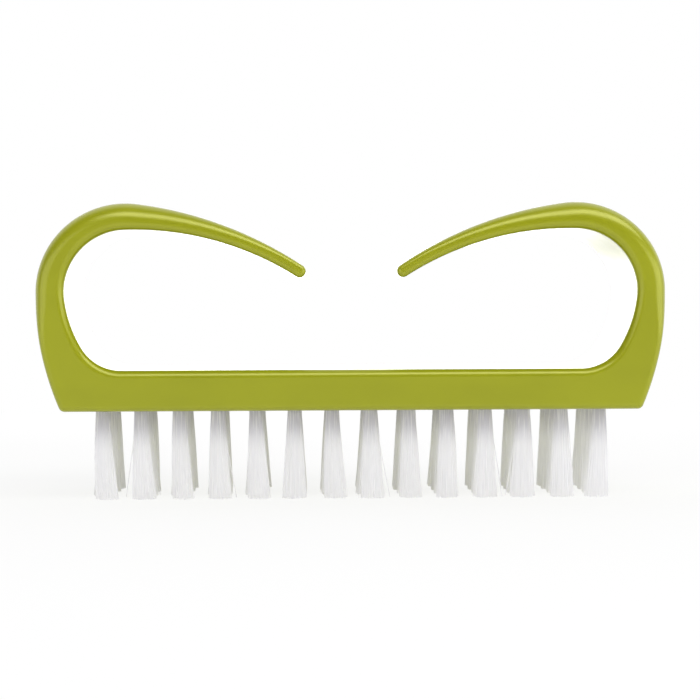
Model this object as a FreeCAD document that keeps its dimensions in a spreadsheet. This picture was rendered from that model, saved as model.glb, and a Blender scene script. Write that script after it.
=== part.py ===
"""Nail brush: a moulded bar with two curled horns, and bristle tufts pinned in blind holes under the bar.

Millimetres. +X runs along the bar, +Y from the front face to the rear face, +Z up.
The origin lies midway along and across the brush, in the plane of the bristle tips.
"""
import FreeCAD, Part
import math
import os

import Sketcher

doc = FreeCAD.newDocument("nail_brush")

# Driving dimensions
SIZES = [
    ("length", 100.0, "overall length of the body"),
    ("body_width", 27.0, "front face to rear face"),
    ("body_height", 33.0, "underside of the bar to the top of the horns"),
    ("bar_thickness", 6.5, "underside to top of the bar"),
    ("side_radius", 47.0, "outer curve from the bar's end up to the widest point"),
    ("horn_top_radius", 62.0, "outer curve from the shoulder to the horn's tip"),
    ("horn_under_radius", 48.0, "inner curve from the tip back to the loop"),
    ("loop_side_radius", 20.0, "side of the finger loop"),
    ("loop_rise", 5.2, "middle of the loop's lower curve up to the middle of its upper curve"),
    ("loop_flare", 2.6, "how much wider the loop's upper curve is than its lower one, in radius"),
    ("arch_thickness", 4.3, "wall over the top of the loop"),
    ("shoulder_thickness", 4.4, "wall from the loop's upper curve out to the shoulder"),
    ("arm_thickness", 4.6, "wall beside the top of the loop"),
    ("heel_thickness", 6.3, "wall beside the foot of the loop"),
    ("mouth_gap", 14.4, "gap between the two horn tips"),
    ("tip_drop", 10.9, "top of the body down to the middle of a horn tip"),
    ("tip_radius", 1.0, "rounded end of a horn"),
    ("corner_radius", 1.0, "lower corner at each end of the bar"),
    ("edge_rounding", 0.85, "edges of the front and rear faces"),
    ("columns", 14, "tufts along the bar"),
    ("rows", 4, "tufts across the bar"),
    ("end_margin", 10.2, "end of the body to the middle of the nearest hole"),
    ("row_margin", 4.3, "front or rear face to the middle of the nearest hole"),
    ("hole_diameter", 2.2, "blind hole of a tuft"),
    ("hole_floor", 2.0, "plastic left above a blind hole"),
    ("bristle_length", 14.2, "tuft below the bar"),
    ("tuft_tip_diameter", 3.8, "tuft spread at its cut end"),
    ("tuft_clearance", 0.05, "tuft to hole wall"),
    ("fold_height", 0.4, "filaments folded over the anchor"),
    ("anchor_height", 1.4, "anchor wire, along the hole"),
    ("anchor_thickness", 0.3, "anchor wire, across its flat"),
    ("anchor_bite", 0.2, "how far each end of an anchor cuts into the hole wall"),
]

sizes = doc.addObject("Spreadsheet::Sheet", "sizes")
for line, (alias, value, note) in enumerate(SIZES, start=1):
    sizes.set(f"A{line}", alias)
    sizes.set(f"B{line}", str(value))
    sizes.set(f"C{line}", note)
    sizes.setAlias(f"B{line}", alias)
doc.recompute()

# Sizes that follow from the driving ones, as expressions
HALF_LENGTH = "sizes.length / 2"
HALF_WIDTH = "sizes.body_width / 2"
COLUMN_SPAN = "(sizes.length - 2 * sizes.end_margin)"
ROW_SPAN = "(sizes.body_width - 2 * sizes.row_margin)"
HOLE_RADIUS = "sizes.hole_diameter / 2"
HOLE_DEPTH = "sizes.bar_thickness - sizes.hole_floor"
SLOT_DEPTH = f"{HOLE_DEPTH} - sizes.fold_height"
ANCHOR_LENGTH = "sizes.hole_diameter + 2 * sizes.anchor_bite"
ROOT_RADIUS = f"{HOLE_RADIUS} - sizes.tuft_clearance"
EYE_BASE = f"sizes.bristle_length + {SLOT_DEPTH} - sizes.anchor_height"
# The loop's two curves fill the height between the bar and the arch
LOOP_HEIGHT = "sizes.body_height - sizes.arch_thickness - sizes.bar_thickness"
LOOP_FOOT_RADIUS = f"(({LOOP_HEIGHT} - sizes.loop_rise - sizes.loop_flare) / 2)"
LOOP_TOP_RADIUS = f"({LOOP_FOOT_RADIUS} + sizes.loop_flare)"
SHOULDER_RADIUS = f"({LOOP_TOP_RADIUS} + sizes.shoulder_thickness)"
# The rounding of the face edges stays under this share of the outline's tightest corners
CORNER_SHARE = 0.85
ROUNDING = f"min(sizes.edge_rounding; {CORNER_SHARE} * min(sizes.tip_radius; sizes.corner_radius))"

# Arcs along the right half of the outline, from the bar's end over the horn and back round the loop
RADII = {
    "corner": "sizes.corner_radius",
    "side": "sizes.side_radius",
    "shoulder": SHOULDER_RADIUS,
    "horn_top": "sizes.horn_top_radius",
    "tip": "sizes.tip_radius",
    "horn_under": "sizes.horn_under_radius",
    "loop_top": LOOP_TOP_RADIUS,
    "loop_side": "sizes.loop_side_radius",
    "loop_foot": LOOP_FOOT_RADIUS,
}
# Middles of the arcs that are placed by their own sizes, across and up; tangency places the rest
MIDDLES = {
    "shoulder": (
        f"{HALF_LENGTH} - {SHOULDER_RADIUS}",
        f"sizes.body_height - {SHOULDER_RADIUS}",
    ),
    "tip": (
        "sizes.mouth_gap / 2 + sizes.tip_radius",
        "sizes.body_height - sizes.tip_drop",
    ),
    "loop_top": (
        f"{HALF_LENGTH} - sizes.arm_thickness - {LOOP_TOP_RADIUS}",
        f"sizes.body_height - sizes.arch_thickness - {LOOP_TOP_RADIUS}",
    ),
    "loop_foot": (
        f"{HALF_LENGTH} - sizes.heel_thickness - {LOOP_FOOT_RADIUS}",
        f"sizes.bar_thickness + {LOOP_FOOT_RADIUS}",
    ),
}
# Arcs whose middle lies in the opening, so that the outline runs clockwise round them
OPENING_ARCS = ("horn_under", "loop_top", "loop_side", "loop_foot")

# Points of a sketch element, as constraints number them, and the sketch's own origin
START, END, CENTRE = range(1, 4)
ORIGIN = (-1, START)
SKETCH_NORMAL = FreeCAD.Vector(0, 0, 1)


def value(expression):
    """What an expression of the sizes comes to."""
    return float(sizes.evalExpression(expression))


def bind(item, **expressions):
    """Bind properties to expressions; a double underscore in a name stands for a dot."""
    for name, expression in expressions.items():
        item.setExpression(name.replace("__", "."), expression)


def origin_part(body, role):
    """One of a body's own origin planes or axes."""
    return next(feature for feature in body.Origin.OriginFeatures if feature.Role == role)


def column_place(column):
    """Where a column of tufts lies along the bar, counted from 1 at the left."""
    return f"{column - 1} / (sizes.columns - 1) * {COLUMN_SPAN} + sizes.end_margin - {HALF_LENGTH}"


def row_place(row):
    """Where a row of tufts lies across the bar, counted from 1 at the front."""
    return f"{row - 1} / (sizes.rows - 1) * {ROW_SPAN} + sizes.row_margin - {HALF_WIDTH}"


# Outline of the body
def tangent_centre(first, first_reach, second, second_reach):
    """The point at the given distances from two centres, left of the line from the first to the second."""
    span = second - first
    along = (first_reach ** 2 - second_reach ** 2 + span.Length ** 2) / (2 * span.Length)
    aside = math.sqrt(first_reach ** 2 - along ** 2)
    unit = span / span.Length
    return first + unit * along + FreeCAD.Vector(-unit.y, unit.x, 0) * aside


def outline_circles():
    """Centre and radius of each arc of the half outline, in order."""
    radius = {name: value(expression) for name, expression in RADII.items()}
    centre = {name: FreeCAD.Vector(value(across), value(up), 0) for name, (across, up) in MIDDLES.items()}
    shoulder, tip = centre["shoulder"], centre["tip"]
    loop_top, loop_foot = centre["loop_top"], centre["loop_foot"]

    side = shoulder + FreeCAD.Vector(radius["shoulder"] - radius["side"], 0, 0)
    corner_fall = side.y - radius["corner"]
    corner_reach = math.sqrt((radius["side"] - radius["corner"]) ** 2 - corner_fall ** 2)
    centre["side"] = side
    centre["corner"] = side + FreeCAD.Vector(corner_reach, -corner_fall, 0)
    centre["horn_top"] = tangent_centre(
        shoulder, radius["horn_top"] - radius["shoulder"],
        tip, radius["horn_top"] - radius["tip"],
    )
    centre["horn_under"] = tangent_centre(
        loop_top, radius["horn_under"] - radius["loop_top"],
        tip, radius["horn_under"] + radius["tip"],
    )
    centre["loop_side"] = tangent_centre(
        loop_foot, radius["loop_side"] - radius["loop_foot"],
        loop_top, radius["loop_side"] - radius["loop_top"],
    )
    return {name: (centre[name], radius[name]) for name in RADII}


def joint(first, second):
    """Where two tangent circles meet."""
    small, large = sorted((first, second), key=lambda circle: circle[1])
    return large[0] + (small[0] - large[0]).normalize() * large[1]


def draw_half_outline(sketch):
    """Right half of the outline: the bar's underside, round the horn and back along the bar's top."""
    circles = outline_circles()
    names = list(circles)
    bar_top = FreeCAD.Vector(0, sizes.bar_thickness, 0)
    joints = [FreeCAD.Vector(circles["corner"][0].x, 0, 0)]
    joints += [joint(circles[name], circles[after]) for name, after in zip(names, names[1:])]
    joints += [FreeCAD.Vector(circles["loop_foot"][0].x, sizes.bar_thickness, 0)]

    underside = sketch.addGeometry(Part.LineSegment(FreeCAD.Vector(), joints[0]))
    picks = {}
    last = (underside, END)
    for name, begin, finish in zip(names, joints, joints[1:]):
        centre, radius = circles[name]
        clockwise = name in OPENING_ARCS
        ends = (finish, begin) if clockwise else (begin, finish)
        angles = [math.atan2(end.y - centre.y, end.x - centre.x) for end in ends]
        arc = Part.ArcOfCircle(Part.Circle(centre, SKETCH_NORMAL, radius), *angles)
        picks[name] = sketch.addGeometry(arc)
        sketch.addConstraint(
            Sketcher.Constraint("Tangent", *last, picks[name], END if clockwise else START)
        )
        last = (picks[name], START if clockwise else END)
    top = sketch.addGeometry(Part.LineSegment(joints[-1], bar_top))
    middle = sketch.addGeometry(Part.LineSegment(bar_top, FreeCAD.Vector()))
    for constraint in (
        ("Tangent", *last, top, START),
        ("Coincident", top, END, middle, START),
        ("Coincident", middle, END, underside, START),
        ("Coincident", underside, START, *ORIGIN),
        ("Horizontal", underside),
        ("Horizontal", top),
        ("Vertical", middle),
        ("Horizontal", picks["side"], CENTRE, picks["shoulder"], CENTRE),
    ):
        sketch.addConstraint(Sketcher.Constraint(*constraint))
    return picks


def dimension(sketch, name, kind, picks, expression):
    """Add a named dimension whose value follows an expression."""
    sketch.addConstraint(Sketcher.Constraint(kind, *picks, value(expression)))
    sketch.renameConstraint(sketch.ConstraintCount - 1, name)
    sketch.setExpression(f"Constraints.{name}", expression)


def dimension_outline(sketch, picks):
    """Tie the outline's radii and middles to the sheet."""
    for name, radius in RADII.items():
        dimension(sketch, f"{name}_radius", "Radius", [picks[name]], radius)
    for name, (across, up) in MIDDLES.items():
        dimension(sketch, f"{name}_across", "DistanceX", [*ORIGIN, picks[name], CENTRE], across)
        dimension(sketch, f"{name}_up", "DistanceY", [*ORIGIN, picks[name], CENTRE], up)


# Body: the bar and both horns, one moulding
def make_body():
    """Half outline, padded and mirrored, with rounded face edges and a grid of tuft holes."""
    body = doc.addObject("PartDesign::Body", "brush_body")
    body.Label = "brush_body"
    bind(body, Placement__Base__z="sizes.bristle_length")

    outline = body.newObject("Sketcher::SketchObject", "half_outline")
    outline.AttachmentSupport = (origin_part(body, "XZ_Plane"), [""])
    outline.MapMode = "FlatFace"
    dimension_outline(outline, draw_half_outline(outline))

    half = body.newObject("PartDesign::Pad", "half_body")
    half.Profile = outline
    half.SideType = "Symmetric"
    bind(half, Length="sizes.body_width")
    doc.recompute()

    whole = body.newObject("PartDesign::Mirrored", "whole_body")
    whole.Originals = [half]
    whole.MirrorPlane = (origin_part(body, "YZ_Plane"), [""])
    body.Tip = whole
    doc.recompute()

    rounding = body.newObject("PartDesign::Fillet", "edge_rounding")
    rounding.Base = (whole, face_edges(whole.Shape))
    bind(rounding, Radius=ROUNDING)
    doc.recompute()

    solid_volume = rounding.Shape.Volume
    add_holes(body)
    doc.recompute()
    print(f"tuft holes take {solid_volume - body.Shape.Volume:.1f} mm3 out of the body")
    return body


def face_edges(shape):
    """Names of the edges round the flat front and rear faces."""
    front, rear = shape.BoundBox.YMin, shape.BoundBox.YMax
    slack = 1e-6
    names = []
    for number, edge in enumerate(shape.Edges, start=1):
        box = edge.BoundBox
        in_front = abs(box.YMin - front) < slack and abs(box.YMax - front) < slack
        in_rear = abs(box.YMin - rear) < slack and abs(box.YMax - rear) < slack
        if in_front or in_rear:
            names.append(f"Edge{number}")
    return names


def add_holes(body):
    """Blind holes for the tufts, each with the slot that its anchor cuts on the way in."""
    hole = body.newObject("PartDesign::SubtractiveCylinder", "tuft_hole")
    bind(
        hole,
        Radius=HOLE_RADIUS,
        Height=HOLE_DEPTH,
        Placement__Base__x=column_place(1),
        Placement__Base__y=row_place(1),
    )
    slot = body.newObject("PartDesign::SubtractiveBox", "anchor_slot")
    bind(
        slot,
        Length=ANCHOR_LENGTH,
        Width="sizes.anchor_thickness",
        Height=SLOT_DEPTH,
        Placement__Base__x=f"{column_place(1)} - ({ANCHOR_LENGTH}) / 2",
        Placement__Base__y=f"{row_place(1)} - sizes.anchor_thickness / 2",
    )
    doc.recompute()

    grid = body.newObject("PartDesign::LinearPattern", "tuft_grid")
    grid.Originals = [hole, slot]
    grid.Direction = (origin_part(body, "X_Axis"), [""])
    grid.Direction2 = (origin_part(body, "Y_Axis"), [""])
    grid.Mode = "Extent"
    grid.Mode2 = "Extent"
    bind(
        grid,
        Length=COLUMN_SPAN,
        Occurrences="sizes.columns",
        Length2=ROW_SPAN,
        Occurrences2="sizes.rows",
    )
    body.Tip = grid


# Tufts: filaments folded over an anchor, straight in the hole and spread below the bar
def make_tuft(row, column):
    """One tuft, with an eye through its root where the anchor lies."""
    name = f"tuft_r{row}_c{column:02d}"
    spread = doc.addObject("Part::Cone", f"{name}_spread")
    bind(spread, Radius1="sizes.tuft_tip_diameter / 2", Radius2=ROOT_RADIUS, Height="sizes.bristle_length")
    root = doc.addObject("Part::Cylinder", f"{name}_root")
    bind(root, Radius=ROOT_RADIUS, Height=HOLE_DEPTH, Placement__Base__z="sizes.bristle_length")
    bundle = doc.addObject("Part::Fuse", f"{name}_bundle")
    bundle.Base = spread
    bundle.Tool = root
    eye = doc.addObject("Part::Box", f"{name}_eye")
    place_anchor(eye)
    tuft = doc.addObject("Part::Cut", name)
    tuft.Label = name
    tuft.Base = bundle
    tuft.Tool = eye
    bind(tuft, Placement__Base__x=column_place(column), Placement__Base__y=row_place(row))
    return tuft


def place_anchor(box, across="0", along="0"):
    """Size a box as an anchor and set it in the hole at the given place."""
    bind(
        box,
        Length=ANCHOR_LENGTH,
        Width="sizes.anchor_thickness",
        Height="sizes.anchor_height",
        Placement__Base__x=f"{along} - ({ANCHOR_LENGTH}) / 2",
        Placement__Base__y=f"{across} - sizes.anchor_thickness / 2",
        Placement__Base__z=EYE_BASE,
    )


# Anchors: short pieces of flat wire, one in each hole
def make_anchors(places):
    """All the anchors, as one group of separate solids."""
    wires = []
    for row, column in places:
        wire = doc.addObject("Part::Box", f"anchor_r{row}_c{column:02d}")
        place_anchor(wire, across=row_place(row), along=column_place(column))
        wires.append(wire)
    anchors = doc.addObject("Part::Compound", "tuft_anchors")
    anchors.Label = "tuft_anchors"
    anchors.Links = wires
    return anchors


rows = range(1, int(sizes.rows) + 1)
columns = range(1, int(sizes.columns) + 1)
places = [(row, column) for row in rows for column in columns]

pieces = [make_body()]
pieces += [make_tuft(row, column) for row, column in places]
pieces.append(make_anchors(places))
doc.recompute()

# Checks, then one file for each piece
for item in doc.Objects:
    if "Invalid" in item.State or "Error" in item.State:
        raise RuntimeError(f"{item.Label} did not build: {item.State}")
for piece in pieces:
    if piece.Shape.isNull() or not piece.Shape.isValid():
        raise RuntimeError(f"{piece.Label} has no valid shape")

os.makedirs("parts", exist_ok=True)
for piece in pieces:
    piece.Shape.exportStep(os.path.join("parts", f"{piece.Label}.step"))
    box = piece.Shape.optimalBoundingBox(False)
    print(
        f"{piece.Label}: {len(piece.Shape.Solids)} solid(s), {piece.Shape.Volume:.2f} mm3, "
        f"x {box.XMin:.2f} to {box.XMax:.2f}, y {box.YMin:.2f} to {box.YMax:.2f}, "
        f"z {box.ZMin:.2f} to {box.ZMax:.2f}"
    )
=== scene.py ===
"""Looks of a nail brush: a glossy moulded body with two curled horns, and tufts of white nylon filaments.

Metres. +X runs along the bar, +Y from the front face to the rear face, +Z up from the bristle tips.
"""
import math
import random

import bmesh
import bpy
from mathutils import Matrix, Vector


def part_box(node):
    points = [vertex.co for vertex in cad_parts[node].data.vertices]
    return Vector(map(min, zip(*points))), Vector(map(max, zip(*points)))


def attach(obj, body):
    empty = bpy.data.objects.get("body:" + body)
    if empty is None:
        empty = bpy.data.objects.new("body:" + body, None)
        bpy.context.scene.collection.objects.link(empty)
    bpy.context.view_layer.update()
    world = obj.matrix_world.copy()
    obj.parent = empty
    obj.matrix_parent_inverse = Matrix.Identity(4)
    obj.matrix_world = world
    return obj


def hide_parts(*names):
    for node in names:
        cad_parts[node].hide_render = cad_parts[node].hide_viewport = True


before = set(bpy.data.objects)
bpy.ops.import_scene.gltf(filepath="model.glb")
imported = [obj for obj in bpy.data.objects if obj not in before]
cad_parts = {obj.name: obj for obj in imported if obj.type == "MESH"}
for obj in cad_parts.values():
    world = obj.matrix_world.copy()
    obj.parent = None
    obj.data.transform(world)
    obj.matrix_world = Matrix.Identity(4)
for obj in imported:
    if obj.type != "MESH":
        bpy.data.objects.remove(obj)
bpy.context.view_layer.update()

bl_info = {
    "name": "Nail brush looks",
    "version": (1, 0, 0),
    "blender": (4, 5, 0),
    "location": "View3D > Sidebar > Nail brush",
    "description": "Moulds the body, plants the bristle tufts and sets the stage",
    "category": "Object",
}

MM = 0.001
CARRIER = "root"

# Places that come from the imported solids
BODY_LOW, BODY_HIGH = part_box("brush_body")
HALF_LENGTH = (BODY_HIGH.x - BODY_LOW.x) / 2
HALF_WIDTH = (BODY_HIGH.y - BODY_LOW.y) / 2
BAR_BOTTOM = BODY_LOW.z
BODY_TOP = BODY_HIGH.z
TUFT_NODES = sorted(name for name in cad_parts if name.startswith("tuft_r"))

# Fineness of the meshes
EDGE_STEPS = 10
HOLE_SIDES = 24
FILAMENT_SIDES = 5
FILAMENT_STEPS = 6
HEART_SIDES = 40

# Narrow strips beside a rounded edge, which keep the flats beside it flat in shading
FACE_STRIP = 0.06 * MM
WALL_STRIP = 0.2 * MM

# Most of a wall's thickness that the two roundings on it may take together
WALL_SHARE = 0.9
# Points of the body closer than this become one
WELD = 0.001 * MM
# Edges that turn by more than these angles are shaded as sharp
BODY_SHARP_ANGLE = math.radians(40)
FILAMENT_SHARP_ANGLE = math.radians(70)
# Half the angle of the loop's foot that is paired with a lower corner of the bar
HEEL_HALF_ANGLE = math.radians(8)


# Settings that a user would change
def length(name, description, millimetres):
    """A length property, given in millimetres."""
    return bpy.props.FloatProperty(
        name=name, description=description, default=millimetres * MM, unit="LENGTH", precision=5
    )


def colour(name, description, value):
    """A colour property, in linear light."""
    return bpy.props.FloatVectorProperty(
        name=name, description=description, default=value, size=3, min=0, max=1, subtype="COLOR"
    )


def share(name, description, value):
    """A property between 0 and 1."""
    return bpy.props.FloatProperty(
        name=name, description=description, default=value, min=0, max=1, subtype="FACTOR"
    )


def turn(name, description, degrees):
    """An angle property, given in degrees."""
    return bpy.props.FloatProperty(
        name=name, description=description, default=math.radians(degrees), subtype="ANGLE"
    )


class BodySettings(bpy.types.PropertyGroup):
    """Outline, edges and plastic of the body."""

    bar_thickness: length("Bar thickness", "Underside to top of the bar", 6.5)
    side_radius: length("Side radius", "Outer curve from the bar's end up to the widest point", 47)
    horn_top_radius: length("Horn top radius", "Outer curve from the shoulder to the horn's tip", 62)
    horn_under_radius: length("Horn under radius", "Inner curve from the tip back to the loop", 48)
    loop_side_radius: length("Loop side radius", "Side of the finger loop", 20)
    loop_rise: length("Loop rise", "Middle of the loop's lower curve up to that of its upper curve", 5.2)
    loop_flare: length("Loop flare", "How much larger the loop's upper curve is, in radius", 2.6)
    arch_thickness: length("Arch thickness", "Wall over the top of the loop", 4.3)
    shoulder_thickness: length("Shoulder thickness", "Wall from the loop out to the shoulder", 4.4)
    arm_thickness: length("Arm thickness", "Wall beside the top of the loop", 4.6)
    heel_thickness: length("Heel thickness", "Wall beside the foot of the loop", 6.3)
    mouth_gap: length("Mouth gap", "Gap between the two horn tips", 14.4)
    tip_drop: length("Tip drop", "Top of the body down to the middle of a horn tip", 10.9)
    tip_radius: length("Tip radius", "Rounded end of a horn", 1.0)
    corner_radius: length("Corner radius", "Lower corner at each end of the bar", 1.0)
    bar_rounding: length("Bar rounding", "Outer edges under the bar and round its ends", 0.93)
    arm_rounding: length("Arm rounding", "Outer edges at the widest point", 2.0)
    arch_rounding: length("Arch rounding", "Outer edges over the arch, softened for the palm", 3.0)
    loop_rounding: length("Loop rounding", "Edges round the opening: bar top, loop and under the horn", 1.2)
    tip_rounding: length("Tip rounding", "Edges round the end of a horn", 0.75)
    hole_diameter: length("Hole diameter", "Blind hole of a tuft", 2.2)
    hole_depth: length("Hole depth", "Underside of the bar to the end of a blind hole", 4.5)
    plastic: colour("Plastic", "Body of the lime plastic", (0.302, 0.322, 0.004))
    plastic_roughness: share("Plastic roughness", "Polish of the moulding", 0.3)
    gloss_tint: colour("Gloss tint", "Colour of the reflections seen head on", (1, 1, 0.22))


class BristleSettings(bpy.types.PropertyGroup):
    """Filaments of the tufts."""

    outer_filaments: bpy.props.IntProperty(
        name="Outer filaments", description="Filaments on the outside of a tuft", default=100, min=1
    )
    inner_filaments: bpy.props.IntProperty(
        name="Inner filaments", description="Filaments that show only at their cut ends", default=90, min=1
    )
    filament_diameter: length("Filament diameter", "Nylon filament", 0.16)
    root_spread: length("Root spread", "Across the filaments where they leave the hole", 2.15)
    tip_spread: length("Tip spread", "Across the filaments at their cut ends", 3.6)
    sunk_length: length("Sunk length", "Filament inside the hole, up to the anchor", 2.2)
    end_length: length("End length", "Loose end of a filament, below the dense heart of its tuft", 1.2)
    uneven_ends: length("Uneven ends", "How much the cut ends differ in height", 0.3)
    lean: length("Lean", "How far a tuft's tips may lean to a side", 0.3)
    bow: length("Bow", "How far a filament bows along its length", 0.1)
    stray: length("Stray", "How far a stray filament stands out from its tuft", 1.0)
    nylon: colour("Nylon", "White nylon of the filaments", (0.9, 0.89, 0.94))
    # Painted shade: the colour the nylon is darkened to under the bar, where the bar's shade falls
    nylon_painted_shade: colour("Nylon root", "Nylon near the bar, darker for the shade there", (0.61, 0.59, 0.69))


class StageSettings(bpy.types.PropertyGroup):
    """Camera, floor and lights."""

    distance: length("Distance", "Camera to the front face of the body", 300)
    pixels_per_mm: bpy.props.FloatProperty(
        name="Pixels per millimetre", description="Scale of the picture at the front face", default=6.335
    )
    roll: turn("Roll", "Turn of the camera about its own axis", 0.27)
    floor_size: length("Floor size", "Side of the square floor", 6000)
    floor_colour: colour("Floor colour", "Pale floor", (0.92, 0.92, 0.92))
    ambient: share("Ambient", "Even light from the room in front", 0.12)
    backdrop: share("Backdrop", "Even light from the white backdrop", 0.9)
    key_power: bpy.props.FloatProperty(
        name="Key power", description="Large soft lamp above the front", default=2.4, unit="POWER"
    )
    left_power: bpy.props.FloatProperty(
        name="Left power", description="Low soft lamp from the left", default=0.65, unit="POWER"
    )
    right_power: bpy.props.FloatProperty(
        name="Right power", description="Low soft lamp from the right", default=0.9, unit="POWER"
    )
    back_power: bpy.props.FloatProperty(
        name="Back power", description="Low lamp behind the brush", default=0.2, unit="POWER"
    )


# Shader maths, with the places of a Mix node's colour sockets, whose names are not unique
MIX_FIRST_COLOUR = 6
MIX_SECOND_COLOUR = 7
MIX_COLOUR_RESULT = 2


class Wire:
    """A node's output that can be used in sums as a number can."""

    def __init__(self, tree, socket=None):
        self.tree = tree
        self.socket = socket

    def node(self, kind, settings=None, sockets=None, output=0):
        """Add a node: its settings first, then the values or links of its sockets."""
        made = self.tree.nodes.new(kind)
        for name, value in (settings or {}).items():
            setattr(made, name, value)
        for name, value in (sockets or {}).items():
            if isinstance(value, Wire):
                self.tree.links.new(value.socket, made.inputs[name])
            else:
                made.inputs[name].default_value = value
        return Wire(self.tree, made.outputs[output] if made.outputs else None)

    def sum(self, operation, first, second):
        """A Math node on two values, either of which may be a plain number."""
        return self.node("ShaderNodeMath", {"operation": operation}, {0: first, 1: second})

    def __add__(self, other):
        return self.sum("ADD", self, other)

    def __radd__(self, other):
        return self.sum("ADD", other, self)

    def __rsub__(self, other):
        return self.sum("SUBTRACT", other, self)

    def __mul__(self, other):
        return self.sum("MULTIPLY", self, other)

    def __rmul__(self, other):
        return self.sum("MULTIPLY", other, self)

    def largest(self, other):
        """The larger of two values."""
        return self.sum("MAXIMUM", self, other)

    def between(self, low, high):
        """0 below low, 1 above high and a smooth step from one to the other."""
        settings = {"interpolation_type": "SMOOTHSTEP"}
        return self.node("ShaderNodeMapRange", settings, {"Value": self, "From Min": low, "From Max": high})

    def mix(self, first, second):
        """First colour where this value is 0, second where it is 1."""
        sockets = {"Factor": self, MIX_FIRST_COLOUR: first, MIX_SECOND_COLOUR: second}
        return self.node("ShaderNodeMix", {"data_type": "RGBA"}, sockets, output=MIX_COLOUR_RESULT)

    def stretch(self, scale):
        """Coordinates multiplied along each axis."""
        settings = {"operation": "MULTIPLY"}
        return self.node("ShaderNodeVectorMath", settings, {0: self, 1: scale})

    def part(self, axis):
        """One coordinate of a vector, by its letter."""
        return self.node("ShaderNodeSeparateXYZ", None, {0: self}, output=axis)

    def noise(self, scale, detail=2.0):
        """A noise value at these coordinates, about 0.5 on average."""
        sockets = {"Vector": self, "Scale": scale, "Detail": detail}
        return self.node("ShaderNodeTexNoise", None, sockets)


def opaque(rgb):
    """A colour with its alpha."""
    return (*rgb, 1)


def new_material(name):
    """An empty node material and its wire to start from."""
    material = bpy.data.materials.new(name)
    material.use_nodes = True
    material.node_tree.nodes.clear()
    return material, Wire(material.node_tree)


def end_material(start, shader):
    """Join a shader to the material's output."""
    start.node("ShaderNodeOutputMaterial", None, {"Surface": shader})


# Materials
FLOW_CONTRAST = 0.03
SMEAR_ROUGHNESS = 0.1
STRAND_CONTRAST = 0.6
STRAND_BRIGHTNESS = 1.08
# Heights between which the painted shade darkens the nylon towards the bar, as shares of the bar's own, and
# how much the strands shift them
DARK_FROM = 0.6
DARK_TO = 1.05
DARK_SHIFT = 2 * MM


def lime_plastic(settings):
    """Glossy moulded plastic with faint flow marks and an almost flat skin."""
    material, start = new_material("lime_plastic")
    place = start.node("ShaderNodeTexCoord", output="Object")
    flow = place.stretch((1, 1, 2.5)).noise(45)
    waves = place.noise(260, detail=1)
    smears = place.stretch((1, 1, 0.4)).noise(160, detail=4)
    pale = opaque(channel * (1 + FLOW_CONTRAST) for channel in settings.plastic)
    deep = opaque(channel * (1 - FLOW_CONTRAST) for channel in settings.plastic)
    bump = start.node("ShaderNodeBump", None, {"Strength": 0.06, "Distance": 0.1 * MM, "Height": waves})
    shader = start.node("ShaderNodeBsdfPrincipled", None, {
        "Base Color": flow.between(0.35, 0.65).mix(deep, pale),
        "Roughness": settings.plastic_roughness - SMEAR_ROUGHNESS / 2 + SMEAR_ROUGHNESS * smears,
        "IOR": 1.85,
        "Specular Tint": opaque(settings.gloss_tint),
        "Coat Weight": 0.5,
        "Coat Roughness": 0.22,
        "Normal": bump,
    })
    end_material(start, shader)
    return material


def white_nylon(settings):
    """White filaments, each a little different from the next, with shade painted on them near the bar."""
    material, start = new_material("white_nylon")
    place = start.node("ShaderNodeTexCoord", output="Object")
    strands = place.stretch((4500, 4500, 25)).noise(1, detail=1)
    height = place.part("Z") + DARK_SHIFT * strands
    # Painted shade: the nylon turns to the shaded colour towards the bar
    shade = height.between(DARK_FROM * BAR_BOTTOM, DARK_TO * BAR_BOTTOM)
    tone = shade.mix(opaque(settings.nylon), opaque(settings.nylon_painted_shade))
    bright = opaque(min(1, channel * STRAND_BRIGHTNESS) for channel in settings.nylon)
    shader = start.node("ShaderNodeBsdfPrincipled", None, {
        "Base Color": (STRAND_CONTRAST * strands.between(0.45, 0.7)).mix(tone, bright),
        "Roughness": 0.35 + 0.25 * strands,
        "IOR": 1.53,
    })
    end_material(start, shader)
    return material


def flat_brass(name):
    """Drawn brass wire, streaked along its length."""
    material, start = new_material(name)
    place = start.node("ShaderNodeTexCoord", output="Object")
    streaks = place.stretch((400, 6000, 6000)).noise(1, detail=2)
    shader = start.node("ShaderNodeBsdfPrincipled", None, {
        "Base Color": streaks.mix(opaque((0.60, 0.42, 0.16)), opaque((0.72, 0.55, 0.26))),
        "Metallic": 1,
        "Roughness": 0.25 + 0.2 * streaks,
    })
    end_material(start, shader)
    return material


# Pieces
def add_object(name, mesh):
    """A new object with this mesh, in the scene."""
    made = bpy.data.objects.new(name, mesh)
    bpy.context.scene.collection.objects.link(made)
    return made


def add_piece(name, mesh, material, slot, *nodes):
    """A piece of the brush that stands for CAD nodes, in this material; its slot is not used."""
    mesh.materials.clear()
    mesh.materials.append(material)
    piece = add_object(name, mesh)
    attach(piece, CARRIER)
    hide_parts(*nodes)
    return piece


# Outline of the body, seen from the front as X and Z
class Run:
    """A straight stretch of the outline; inward points into the plastic."""

    def __init__(self, start, end, inward):
        self.start = Vector(start)
        self.end = Vector(end)
        self.inward = Vector(inward)

    def at(self, part):
        """The point at this share of the stretch, and the way into the plastic there."""
        return self.start.lerp(self.end, part), self.inward


class Arc:
    """A round stretch of the outline, with the plastic inside its circle, or outside it at an opening."""

    def __init__(self, circle, start, end, opening=False):
        self.middle, self.radius = circle
        self.start = start
        self.end = end
        self.side = 1 if opening else -1

    def at(self, part):
        """The point at this share of the stretch, and the way into the plastic there."""
        angle = self.start + (self.end - self.start) * part
        away = Vector((math.cos(angle), math.sin(angle)))
        return self.middle + away * self.radius, away * self.side


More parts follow.
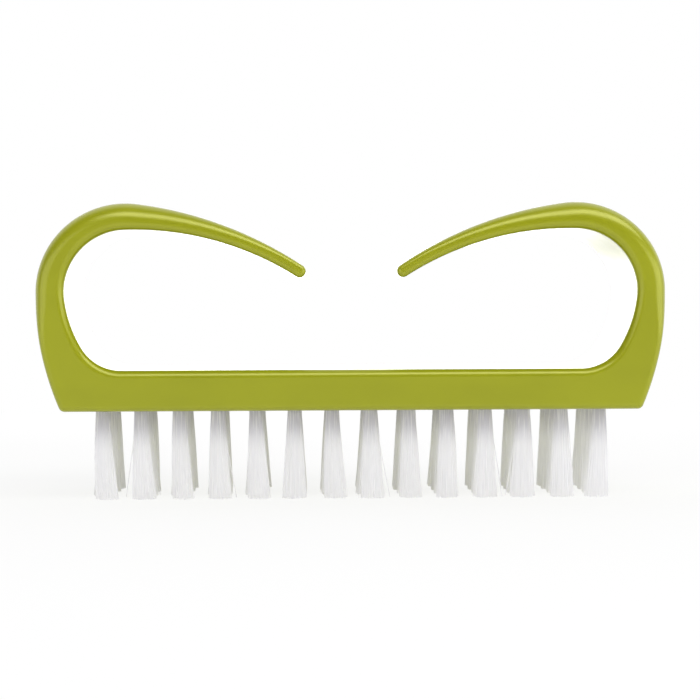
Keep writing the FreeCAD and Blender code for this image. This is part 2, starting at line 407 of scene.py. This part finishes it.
def tangent_middle(first, first_reach, second, second_reach):
    """The point at these distances from two middles, left of the line from the first to the second."""
    span = second - first
    along = (first_reach ** 2 - second_reach ** 2 + span.length_squared) / (2 * span.length)
    aside = math.sqrt(first_reach ** 2 - along ** 2)
    unit = span.normalized()
    return first + unit * along + Vector((-unit.y, unit.x)) * aside


def direction(start, end):
    """Angle of the way from one point to another."""
    return math.atan2(end.y - start.y, end.x - start.x)


def outline_circles(sizes):
    """Middle and radius of each arc in the right half of the outline."""
    loop_height = BODY_TOP - BAR_BOTTOM - sizes.arch_thickness - sizes.bar_thickness
    foot_radius = (loop_height - sizes.loop_rise - sizes.loop_flare) / 2
    top_radius = foot_radius + sizes.loop_flare
    shoulder_radius = top_radius + sizes.shoulder_thickness
    shoulder = Vector((HALF_LENGTH - shoulder_radius, BODY_TOP - shoulder_radius))
    tip = Vector((sizes.mouth_gap / 2 + sizes.tip_radius, BODY_TOP - sizes.tip_drop))
    loop_top = Vector((
        HALF_LENGTH - sizes.arm_thickness - top_radius,
        BODY_TOP - sizes.arch_thickness - top_radius,
    ))
    loop_foot = Vector((
        HALF_LENGTH - sizes.heel_thickness - foot_radius,
        BAR_BOTTOM + sizes.bar_thickness + foot_radius,
    ))
    side = shoulder + Vector((shoulder_radius - sizes.side_radius, 0))
    corner_fall = side.y - BAR_BOTTOM - sizes.corner_radius
    corner_reach = math.sqrt((sizes.side_radius - sizes.corner_radius) ** 2 - corner_fall ** 2)
    horn_top = tangent_middle(
        shoulder, sizes.horn_top_radius - shoulder_radius,
        tip, sizes.horn_top_radius - sizes.tip_radius,
    )
    horn_under = tangent_middle(
        loop_top, sizes.horn_under_radius - top_radius,
        tip, sizes.horn_under_radius + sizes.tip_radius,
    )
    loop_side = tangent_middle(
        loop_foot, sizes.loop_side_radius - foot_radius,
        loop_top, sizes.loop_side_radius - top_radius,
    )
    return {
        "corner": (side + Vector((corner_reach, -corner_fall)), sizes.corner_radius),
        "side": (side, sizes.side_radius),
        "shoulder": (shoulder, shoulder_radius),
        "horn_top": (horn_top, sizes.horn_top_radius),
        "tip": (tip, sizes.tip_radius),
        "horn_under": (horn_under, sizes.horn_under_radius),
        "loop_top": (loop_top, top_radius),
        "loop_side": (loop_side, sizes.loop_side_radius),
        "loop_foot": (loop_foot, foot_radius),
    }


def outline_bands(sizes):
    """Pairs of outer and inner stretches from the middle of the bar to a horn's tip.

    Each has its number of steps and the rounding of its outer and inner edges at its far end.
    """
    circles = outline_circles(sizes)
    middle = {name: circle[0] for name, circle in circles.items()}
    bar_top = BAR_BOTTOM + sizes.bar_thickness
    foot_x = middle["loop_foot"].x
    down = -math.pi / 2
    foot_end = direction(middle["loop_side"], middle["loop_foot"])
    loop_top_start = direction(middle["loop_side"], middle["loop_top"])
    loop_top_end = direction(middle["horn_under"], middle["loop_top"])
    corner_end = direction(middle["side"], middle["corner"])
    heel_angle = direction(middle["loop_foot"], middle["corner"])
    heel_start = heel_angle - HEEL_HALF_ANGLE
    heel_end = heel_angle + HEEL_HALF_ANGLE
    arm_point, _ = Arc(circles["loop_foot"], foot_end, foot_end).at(0)
    arm_angle = math.asin((arm_point.y - middle["side"].y) / sizes.side_radius)
    shoulder_end = direction(middle["horn_top"], middle["shoulder"])
    tip_start = direction(middle["horn_top"], middle["tip"])
    under_end = direction(middle["horn_under"], middle["tip"])
    tip_end = under_end + math.pi
    apex = (tip_start + tip_end) / 2

    def bar_run(start, end):
        return Run((start, BAR_BOTTOM), (end, BAR_BOTTOM), (0, 1))

    def top_run(start, end):
        return Run((start, bar_top), (end, bar_top), (0, -1))

    def outer(name, start, end):
        return Arc(circles[name], start, end)

    def inner(name, start, end):
        return Arc(circles[name], start, end, opening=True)

    bar, arm, arch = sizes.bar_rounding, sizes.arm_rounding, sizes.arch_rounding
    loop, tip = sizes.loop_rounding, sizes.tip_rounding
    return [
        (bar_run(0, foot_x), top_run(0, foot_x), 12, bar, loop),
        (bar_run(foot_x, middle["corner"].x), inner("loop_foot", down, heel_start), 12, bar, loop),
        (outer("corner", down, corner_end), inner("loop_foot", heel_start, heel_end), 10, bar, loop),
        (outer("side", corner_end, arm_angle), inner("loop_foot", heel_end, foot_end), 24, bar, loop),
        (outer("side", arm_angle, 0), inner("loop_side", foot_end, loop_top_start), 10, arm, loop),
        (outer("shoulder", 0, shoulder_end),
         inner("loop_top", loop_top_start, loop_top_end), 60, arch, loop),
        (outer("horn_top", shoulder_end, tip_start),
         inner("horn_under", loop_top_end, under_end), 60, tip, tip),
        (outer("tip", tip_start, apex), outer("tip", tip_end, apex), 14, tip, tip),
    ]


def rounded_edge(point, inward, rounding):
    """Points from a wall round its front edge to the front face, as X, Z and Y."""
    points = [(point, rounding + WALL_STRIP - HALF_WIDTH)]
    for step in range(EDGE_STEPS + 1):
        angle = math.pi / 2 * step / EDGE_STEPS
        in_from_wall = rounding * (1 - math.cos(angle))
        back_from_face = rounding * (1 - math.sin(angle))
        points.append((point + inward * in_from_wall, back_from_face - HALF_WIDTH))
    points.append((point + inward * (rounding + FACE_STRIP), -HALF_WIDTH))
    return points


def wall_between(outer, inner, part):
    """Plastic from one stretch to the other, or across the circle that both go round."""
    if isinstance(outer, Arc) and isinstance(inner, Arc) and outer.middle == inner.middle:
        return 2 * outer.radius
    return (outer.at(part)[0] - inner.at(part)[0]).length


def ring(outer, inner, wall, outer_rounding, inner_rounding, flip):
    """Points round the plastic at one place along it; the wall limits its roundings."""
    room = wall * WALL_SHARE - 2 * FACE_STRIP
    limit = min(1, room / (outer_rounding + inner_rounding))
    outer_rounding *= limit
    inner_rounding *= limit
    front = rounded_edge(*outer, outer_rounding) + rounded_edge(*inner, inner_rounding)[::-1]
    rear = [(point, -y) for point, y in reversed(front)]
    return [(flip * point.x, y, point.y) for point, y in front + rear]


def half_rings(sizes, flip):
    """Rings from the middle of the bar to the tip of the right horn, or the left one with flip -1."""
    rings = []
    last_outer, last_inner = sizes.bar_rounding, sizes.loop_rounding
    for outer, inner, steps, outer_rounding, inner_rounding in outline_bands(sizes):
        for step in range(steps + 1):
            part = step / steps
            ease = part * part * (3 - 2 * part)
            rings.append(ring(
                outer.at(part), inner.at(part), wall_between(outer, inner, part),
                last_outer + (outer_rounding - last_outer) * ease,
                last_inner + (inner_rounding - last_inner) * ease,
                flip,
            ))
        last_outer, last_inner = outer_rounding, inner_rounding
    return rings


def skin(rings):
    """A closed mesh over rings of points; rings that fold flat close the ends."""
    mesh = bpy.data.meshes.new("skin")
    count = len(rings[0])
    points = [point for points in rings for point in points]
    faces = []
    for first in range(0, len(points) - count, count):
        for place in range(count):
            after = (place + 1) % count
            beyond = first + count
            faces.append((first + place, first + after, beyond + after, beyond + place))
    mesh.from_pydata(points, [], faces)
    cleaned = bmesh.new()
    cleaned.from_mesh(mesh)
    bmesh.ops.remove_doubles(cleaned, verts=cleaned.verts, dist=WELD)
    bmesh.ops.recalc_face_normals(cleaned, faces=cleaned.faces)
    closed = all(len(edge.link_faces) == 2 for edge in cleaned.edges)
    cleaned.to_mesh(mesh)
    cleaned.free()
    if not closed:
        raise RuntimeError("the skin of the body is not closed")
    return mesh


def hole_cutter(sizes):
    """One mesh with a cylinder for each blind hole, which reaches as far below the bar as into it."""
    cutter = bmesh.new()
    height = sizes.hole_depth * 2
    for name in TUFT_NODES:
        low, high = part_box(name)
        place = ((low.x + high.x) / 2, (low.y + high.y) / 2, BAR_BOTTOM)
        bmesh.ops.create_cone(
            cutter, cap_ends=True, segments=HOLE_SIDES, depth=height,
            radius1=sizes.hole_diameter / 2, radius2=sizes.hole_diameter / 2,
            matrix=Matrix.Translation(place),
        )
    mesh = bpy.data.meshes.new("hole_cutter")
    cutter.to_mesh(mesh)
    cutter.free()
    return add_object("hole_cutter", mesh)


def drilled(mesh, sizes):
    """The body's mesh with its blind holes cut."""
    blank = add_object("body_blank", mesh)
    cutter = hole_cutter(sizes)
    cut = blank.modifiers.new("holes", "BOOLEAN")
    cut.object = cutter
    cut.operation = "DIFFERENCE"
    cut.solver = "EXACT"
    ready = blank.evaluated_get(bpy.context.evaluated_depsgraph_get())
    result = bpy.data.meshes.new_from_object(ready)
    for spare in (blank, cutter):
        bpy.data.objects.remove(spare)
    return result


class NAILBRUSH_OT_mould_body(bpy.types.Operator):
    """Mould the bar and the two horns in one piece, and drill the tuft holes"""

    bl_idname = "nail_brush.mould_body"
    bl_label = "Mould the body"

    def execute(self, context):
        sizes = context.scene.nail_brush_body
        rings = half_rings(sizes, -1)[:0:-1] + half_rings(sizes, 1)
        mesh = drilled(skin(rings), sizes)
        mesh.name = "moulded_body"
        mesh.shade_smooth()
        mesh.set_sharp_from_angle(angle=BODY_SHARP_ANGLE)
        add_piece("moulded_body", mesh, lime_plastic(sizes), "handle_plastic", "brush_body")
        return {"FINISHED"}


# Tufts of the front row, after the photo: the lean of each, and the side of a long stray filament by column
FRONT_ROW = "tuft_r1"
FRONT_LEANS_MM = (0.7, 0.45, 0.6, 0.35, 0.45, -0.1, 0.5, 0.2, 0.35, 0.0, 0.05, -0.1, 0.15, -0.4)
FRONT_STRAYS = {2: -1, 4: 1, 8: 1, 11: 1, 12: -1}

# Filaments that stand out a little in every tuft, and how much of the longest stray they reach
LOOSE_FILAMENTS = 3
LOOSE_STRAY = (0.1, 0.35)
# Share of a filament's length at which it starts to stray
STRAY_FROM = 0.35

# Ranges of chance, as shares of the sizes they vary
TUFT_SPREAD = (0.93, 1.07)
OUTER_ROOTS = (0.9, 1)
OUTER_TIPS = (0.88, 1.03)
HEART_RIDGES = (0.84, 0.9)
INNER_REACH = 0.9
USUAL_SHARE = 0.5
# Turns of filaments about the tuft: in steps from one to the next, and in radians
OUTER_STEP_SHIFT = 0.4
OUTER_TWIST = 0.06
INNER_TWIST = 0.2
# Turn from one inner filament to the next that fills a disc evenly
GOLDEN_ANGLE = math.pi * (3 - math.sqrt(5))


class TubeMesh:
    """Points and faces of closed tubes, gathered for one mesh."""

    def __init__(self):
        self.points = []
        self.faces = []

    def add(self, rings):
        """A closed tube over level rings of points that run downwards."""
        base = len(self.points)
        sides = len(rings[0])
        self.points.extend(point for ring in rings for point in ring)
        for first in range(base, base + sides * (len(rings) - 1), sides):
            for side in range(sides):
                after = (side + 1) % sides
                below = first + sides
                self.faces.append((first + side, below + side, below + after, first + after))
        end = base + sides * (len(rings) - 1)
        self.faces.append(tuple(range(base, base + sides)))
        self.faces.append(tuple(range(end + sides - 1, end - 1, -1)))

    def mesh(self, name):
        """The gathered tubes as one mesh."""
        made = bpy.data.meshes.new(name)
        made.from_pydata(self.points, [], self.faces)
        made.shade_smooth()
        made.set_sharp_from_angle(angle=FILAMENT_SHARP_ANGLE)
        return made


def level_ring(middle, reaches):
    """Points round a middle, at one height, at these distances from it."""
    points = []
    for number, reach in enumerate(reaches):
        angle = 2 * math.pi * number / len(reaches)
        points.append(middle + Vector((math.cos(angle), math.sin(angle), 0)) * reach)
    return points


class Tuft:
    """The filaments of one tuft, packed round in its hole and spread towards their cut ends."""

    def __init__(self, sizes, hole, lean, chance):
        self.sizes = sizes
        self.hole = hole
        self.lean = lean
        self.chance = chance
        self.tubes = TubeMesh()
        self.root_reach = (sizes.root_spread - sizes.filament_diameter) / 2
        self.tip_reach = sizes.tip_spread / 2 * chance.uniform(*TUFT_SPREAD)

    def place(self, root, tip, part, bow=Vector((0, 0))):
        """A filament's point at a share of its way from the bar down to its tip."""
        across = root.lerp(tip.xy, part) + self.lean * part * part + bow * math.sin(math.pi * part)
        height = BAR_BOTTOM + (tip.z - BAR_BOTTOM) * part
        return Vector((self.hole.x + across.x, self.hole.y + across.y, height))

    def cut_height(self):
        """Height of a cut end over the plane of the tips."""
        return abs(self.chance.gauss(0, USUAL_SHARE)) * self.sizes.uneven_ends

    def add_filament(self, points):
        """A thin round tube along points."""
        radius = self.sizes.filament_diameter / 2
        self.tubes.add([level_ring(point, [radius] * FILAMENT_SIDES) for point in points])

    def sunk(self, root):
        """A filament's upper end, inside the hole."""
        return Vector((self.hole.x + root.x, self.hole.y + root.y, BAR_BOTTOM + self.sizes.sunk_length))

    def add_outer(self, angle, stray=0.0):
        """A filament on the outside of the tuft, which may stray from it towards its end."""
        chance = self.chance
        root = unit_circle(angle) * self.root_reach * chance.uniform(*OUTER_ROOTS)
        angle += chance.gauss(0, OUTER_TWIST)
        reach = self.tip_reach * chance.uniform(*OUTER_TIPS)
        flat_tip = unit_circle(angle) * reach
        tip = Vector((flat_tip.x, flat_tip.y, self.cut_height()))
        bow = Vector((chance.gauss(0, USUAL_SHARE), chance.gauss(0, USUAL_SHARE))) * self.sizes.bow
        points = [self.sunk(root)]
        for step in range(FILAMENT_STEPS + 1):
            part = step / FILAMENT_STEPS
            aside = unit_circle(angle) * stray * max(0, part - STRAY_FROM) / (1 - STRAY_FROM)
            points.append(self.place(root, tip, part, bow) + aside.to_3d())
        self.add_filament(points)

    def add_inner(self, number):
        """The lower end of a filament inside the tuft; the rest of it is in the heart."""
        chance = self.chance
        out = INNER_REACH * math.sqrt((number + 0.5) / self.sizes.inner_filaments)
        away = unit_circle(number * GOLDEN_ANGLE + chance.uniform(-INNER_TWIST, INNER_TWIST))
        root = away * self.root_reach * out
        flat_tip = away * self.tip_reach * out
        tip = Vector((flat_tip.x, flat_tip.y, self.cut_height()))
        start = (BAR_BOTTOM - 2 * self.sizes.end_length) / BAR_BOTTOM
        self.add_filament([self.place(root, tip, start), self.place(root, tip, 1)])

    def add_heart(self):
        """The middle of the tuft, where the filaments lie too close to tell apart."""
        ridges = [self.chance.uniform(*HEART_RIDGES) for _ in range(HEART_SIDES)]
        centre = Vector((0, 0))
        rings = [level_ring(self.sunk(centre), [ridge * self.root_reach for ridge in ridges])]
        end = 1 - self.sizes.end_length / BAR_BOTTOM
        for step in range(FILAMENT_STEPS + 1):
            part = end * step / FILAMENT_STEPS
            reach = self.root_reach + (self.tip_reach - self.root_reach) * part
            middle = self.place(centre, Vector((0, 0, 0)), part)
            rings.append(level_ring(middle, [ridge * reach for ridge in ridges]))
        self.tubes.add(rings)


def unit_circle(angle):
    """The point at an angle on a circle of radius 1."""
    return Vector((math.cos(angle), math.sin(angle)))


def grow_tuft(sizes, node, chance):
    """All the filaments of one tuft as a mesh."""
    low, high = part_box(node)
    lean = Vector((chance.uniform(-1, 1), chance.uniform(-1, 1))) * sizes.lean
    column = int(node[-2:])
    in_front = node.startswith(FRONT_ROW)
    if in_front:
        lean.x = FRONT_LEANS_MM[column - 1] * MM
    tuft = Tuft(sizes, (low + high) / 2, lean, chance)
    tuft.add_heart()
    for number in range(sizes.outer_filaments):
        shifted = number + chance.uniform(-OUTER_STEP_SHIFT, OUTER_STEP_SHIFT)
        tuft.add_outer(2 * math.pi * shifted / sizes.outer_filaments)
    for number in range(sizes.inner_filaments):
        tuft.add_inner(number)
    for _ in range(LOOSE_FILAMENTS):
        angle = chance.uniform(0, 2 * math.pi)
        tuft.add_outer(angle, stray=sizes.stray * chance.uniform(*LOOSE_STRAY))
    if in_front and column in FRONT_STRAYS:
        tuft.add_outer(0 if FRONT_STRAYS[column] > 0 else math.pi, stray=sizes.stray)
    return tuft.tubes.mesh(node.replace("tuft", "bristles"))


class NAILBRUSH_OT_plant_tufts(bpy.types.Operator):
    """Plant a bundle of nylon filaments in each hole of the bar"""

    bl_idname = "nail_brush.plant_tufts"
    bl_label = "Plant the tufts"

    def execute(self, context):
        sizes = context.scene.nail_brush_bristles
        nylon = white_nylon(sizes)
        for number, node in enumerate(TUFT_NODES):
            mesh = grow_tuft(sizes, node, random.Random(number))
            tuft = add_piece(mesh.name, mesh, nylon, "bristle_nylon", node)
            # Nylon is translucent, so a tuft keeps neither lamp light nor bounced light from its neighbours
            tuft.visible_shadow = False
            tuft.visible_diffuse = False
        return {"FINISHED"}


class NAILBRUSH_OT_finish_anchors(bpy.types.Operator):
    """Give the wire anchors inside the holes their brass"""

    bl_idname = "nail_brush.finish_anchors"
    bl_label = "Finish the anchors"

    def execute(self, context):
        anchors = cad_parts["tuft_anchors"]
        brass = flat_brass("anchor_brass")
        for place in anchors.material_slots:
            place.material = brass
        return {"FINISHED"}


# Stage: the floor's share of plain white beside the brush, where its shadow shows, and how far that reaches
FLOOR_WHITE_NEAR = 0.82
FLOOR_NEAR = 60 * MM
FLOOR_FAR = 260 * MM
# Where the room in front ends and the white backdrop starts, as the Y of a direction
ROOM_TO_WHITE = (-0.15, 0.35)
ROOM_TO_BACKDROP = (-0.2, 0.4)
# How much darker than white the room in front is in reflections
ROOM_DARKNESS = 0.85


def seen_as_background(start):
    """1 for rays that look at the background, directly or in a reflection."""
    camera = start.node("ShaderNodeLightPath", output="Is Camera Ray")
    glossy = start.node("ShaderNodeLightPath", output="Is Glossy Ray")
    through = start.node("ShaderNodeLightPath", output="Is Transmission Ray")
    return camera.largest(glossy).largest(through)


def floor_material(settings):
    """Pale floor that looks white, apart from the brush's own soft shadow."""
    material, start = new_material("pale_floor")
    place = start.node("ShaderNodeTexCoord", output="Object")
    distance = start.node("ShaderNodeVectorMath", {"operation": "LENGTH"}, {0: place}, output="Value")
    plain = FLOOR_WHITE_NEAR + (1 - FLOOR_WHITE_NEAR) * distance.between(FLOOR_NEAR, FLOOR_FAR)
    diffuse = start.node("ShaderNodeBsdfDiffuse", None, {"Color": opaque(settings.floor_colour)})
    white = start.node("ShaderNodeEmission", None, {"Color": (1, 1, 1, 1), "Strength": 1})
    shader = start.node("ShaderNodeMixShader", None, {
        "Fac": seen_as_background(start) * plain, 1: diffuse, 2: white,
    })
    end_material(start, shader)
    return material


def lay_floor(settings):
    """A square floor under the bristle tips."""
    half = settings.floor_size / 2
    corners = [(-half, -half, 0), (half, -half, 0), (half, half, 0), (-half, half, 0)]
    mesh = bpy.data.meshes.new("floor")
    mesh.from_pydata(corners, [], [(0, 1, 2, 3)])
    mesh.materials.append(floor_material(settings))
    add_object("floor", mesh)


def light_world(settings):
    """White all round for the camera, a dark room in front in reflections, and otherwise soft light."""
    world = bpy.data.worlds.new("white_room")
    world.use_nodes = True
    world.node_tree.nodes.clear()
    start = Wire(world.node_tree)
    side = start.node("ShaderNodeTexCoord", output="Generated").part("Y")
    glossy = start.node("ShaderNodeLightPath", output="Is Glossy Ray")
    dim = glossy * (1 - side.between(*ROOM_TO_WHITE))
    shown = seen_as_background(start)
    contrast = settings.backdrop - settings.ambient
    soft = settings.ambient + contrast * side.between(*ROOM_TO_BACKDROP)
    strength = shown * (1 - ROOM_DARKNESS * dim) + (1 - shown) * soft
    sky = start.node("ShaderNodeBackground", None, {"Color": (1, 1, 1, 1), "Strength": strength})
    start.node("ShaderNodeOutputWorld", None, {"Surface": sky})
    bpy.context.scene.world = world


def hang_lamp(name, power, width, height, place):
    """A soft rectangular lamp that faces the brush."""
    lamp = bpy.data.lights.new(name, "AREA")
    lamp.shape = "RECTANGLE"
    lamp.size = width
    lamp.size_y = height
    lamp.energy = power
    held = add_object(name, lamp)
    held.location = place
    aim = Vector((0, 0, (BAR_BOTTOM + BODY_TOP) / 2)) - held.location
    held.rotation_euler = aim.to_track_quat("-Z", "Y").to_euler()
    held.visible_camera = False


# Marks in the picture, in pixels from its upper left corner, and the height of the body mark
PICTURE_SIDE = 700
VANISHING_POINT = (308, 305)
BODY_MARK = (351.7, 308)
BODY_MARK_HEIGHT = 30.43 * MM


def place_camera(settings):
    """A camera in front of the brush that holds its marks at their pixels."""
    data = bpy.data.cameras.new("camera")
    data.lens = data.sensor_width * settings.pixels_per_mm * settings.distance / MM / PICTURE_SIDE
    data.clip_start = 10 * MM
    reach = PICTURE_SIDE * data.lens / data.sensor_width

    def ray(pixel):
        across = (pixel[0] - PICTURE_SIDE / 2) / reach
        up = (PICTURE_SIDE / 2 - pixel[1]) / reach
        return Vector((across, up, -1))

    level = Matrix.Rotation(math.pi / 2, 3, "X")
    astray = level @ ray(VANISHING_POINT)
    straighten = astray.rotation_difference(Vector((0, 1, 0))).to_matrix()
    turned = straighten @ level @ Matrix.Rotation(-settings.roll, 3, "Z")
    sight = turned @ ray(BODY_MARK)
    mark = Vector((0, -HALF_WIDTH, BODY_MARK_HEIGHT))
    camera = add_object("camera", data)
    camera.matrix_world = Matrix.Translation(mark - sight * (settings.distance / sight.y)) @ turned.to_4x4()
    bpy.context.scene.camera = camera


class NAILBRUSH_OT_set_stage(bpy.types.Operator):
    """Lay the floor, light the room and place the camera"""

    bl_idname = "nail_brush.set_stage"
    bl_label = "Set the stage"

    def execute(self, context):
        settings = context.scene.nail_brush_stage
        lay_floor(settings)
        light_world(settings)
        hang_lamp("key_lamp", settings.key_power, width=0.8, height=0.27, place=(0.15, -0.32, 0.48))
        hang_lamp("left_lamp", settings.left_power, width=0.6, height=0.25, place=(-0.42, -0.42, 0.13))
        hang_lamp("right_lamp", settings.right_power, width=0.6, height=0.22, place=(0.5, -0.3, 0.12))
        hang_lamp("back_lamp", settings.back_power, width=0.2, height=0.1, place=(0, 0.25, 0.052))
        place_camera(settings)
        context.scene.view_settings.view_transform = "Standard"
        return {"FINISHED"}


class NAILBRUSH_PT_pieces(bpy.types.Panel):
    """Buttons that build the nail brush and its stage"""

    bl_label = "Nail brush"
    bl_space_type = "VIEW_3D"
    bl_region_type = "UI"
    bl_category = "Nail brush"

    def draw(self, context):
        for operator in OPERATORS:
            self.layout.operator(operator.bl_idname)


SETTINGS = {
    "nail_brush_body": BodySettings,
    "nail_brush_bristles": BristleSettings,
    "nail_brush_stage": StageSettings,
}
OPERATORS = (
    NAILBRUSH_OT_mould_body,
    NAILBRUSH_OT_plant_tufts,
    NAILBRUSH_OT_finish_anchors,
    NAILBRUSH_OT_set_stage,
)
CLASSES = (*SETTINGS.values(), *OPERATORS, NAILBRUSH_PT_pieces)


def register():
    for made in CLASSES:
        bpy.utils.register_class(made)
    for name, made in SETTINGS.items():
        setattr(bpy.types.Scene, name, bpy.props.PointerProperty(type=made))


def unregister():
    for name in SETTINGS:
        delattr(bpy.types.Scene, name)
    for made in reversed(CLASSES):
        bpy.utils.unregister_class(made)


def main():
    register()
    bpy.ops.nail_brush.mould_body()
    bpy.ops.nail_brush.plant_tufts()
    bpy.ops.nail_brush.finish_anchors()
    bpy.ops.nail_brush.set_stage()


if __name__ == "__main__":
    main()
